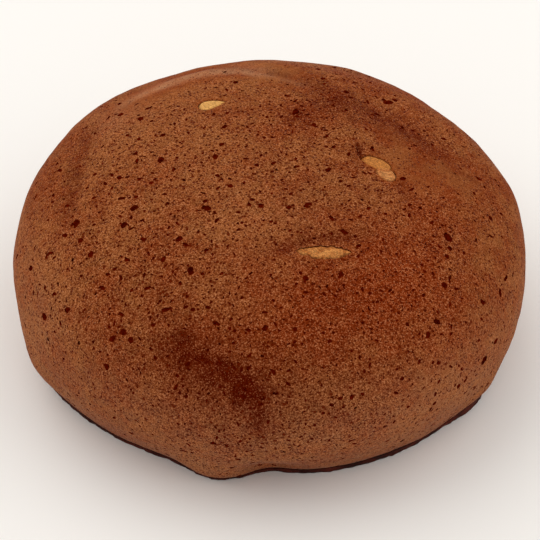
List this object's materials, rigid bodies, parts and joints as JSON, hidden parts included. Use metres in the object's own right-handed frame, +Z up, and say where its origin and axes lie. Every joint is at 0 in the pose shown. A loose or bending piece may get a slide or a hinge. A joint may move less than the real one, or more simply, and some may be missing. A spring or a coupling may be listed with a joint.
{
  "type": "mexican coffee bun",
  "caption": "Round baked bread bun under a thin, pitted coffee topping that has torn open in a few places, resting on its flat base.",
  "frame": {"origin": "on the surface that the bun rests on, below the middle of the bun", "axes": "+Z up through the crown, +X along the width, -Y towards the front, where the topping has run down to a small foot"},
  "size_m": [0.1097, 0.1096, 0.0489],
  "materials": {
    "bread": "soft, matt bread crumb, golden where the topping has torn and baked dark round the base",
    "coffee_topping": "matt to satin baked coffee topping with fine pores and small burst bubbles"
  },
  "bodies": {
    "root": {"bread": "bread", "coffee_topping": "coffee_topping"}
  },
  "joints": []
}
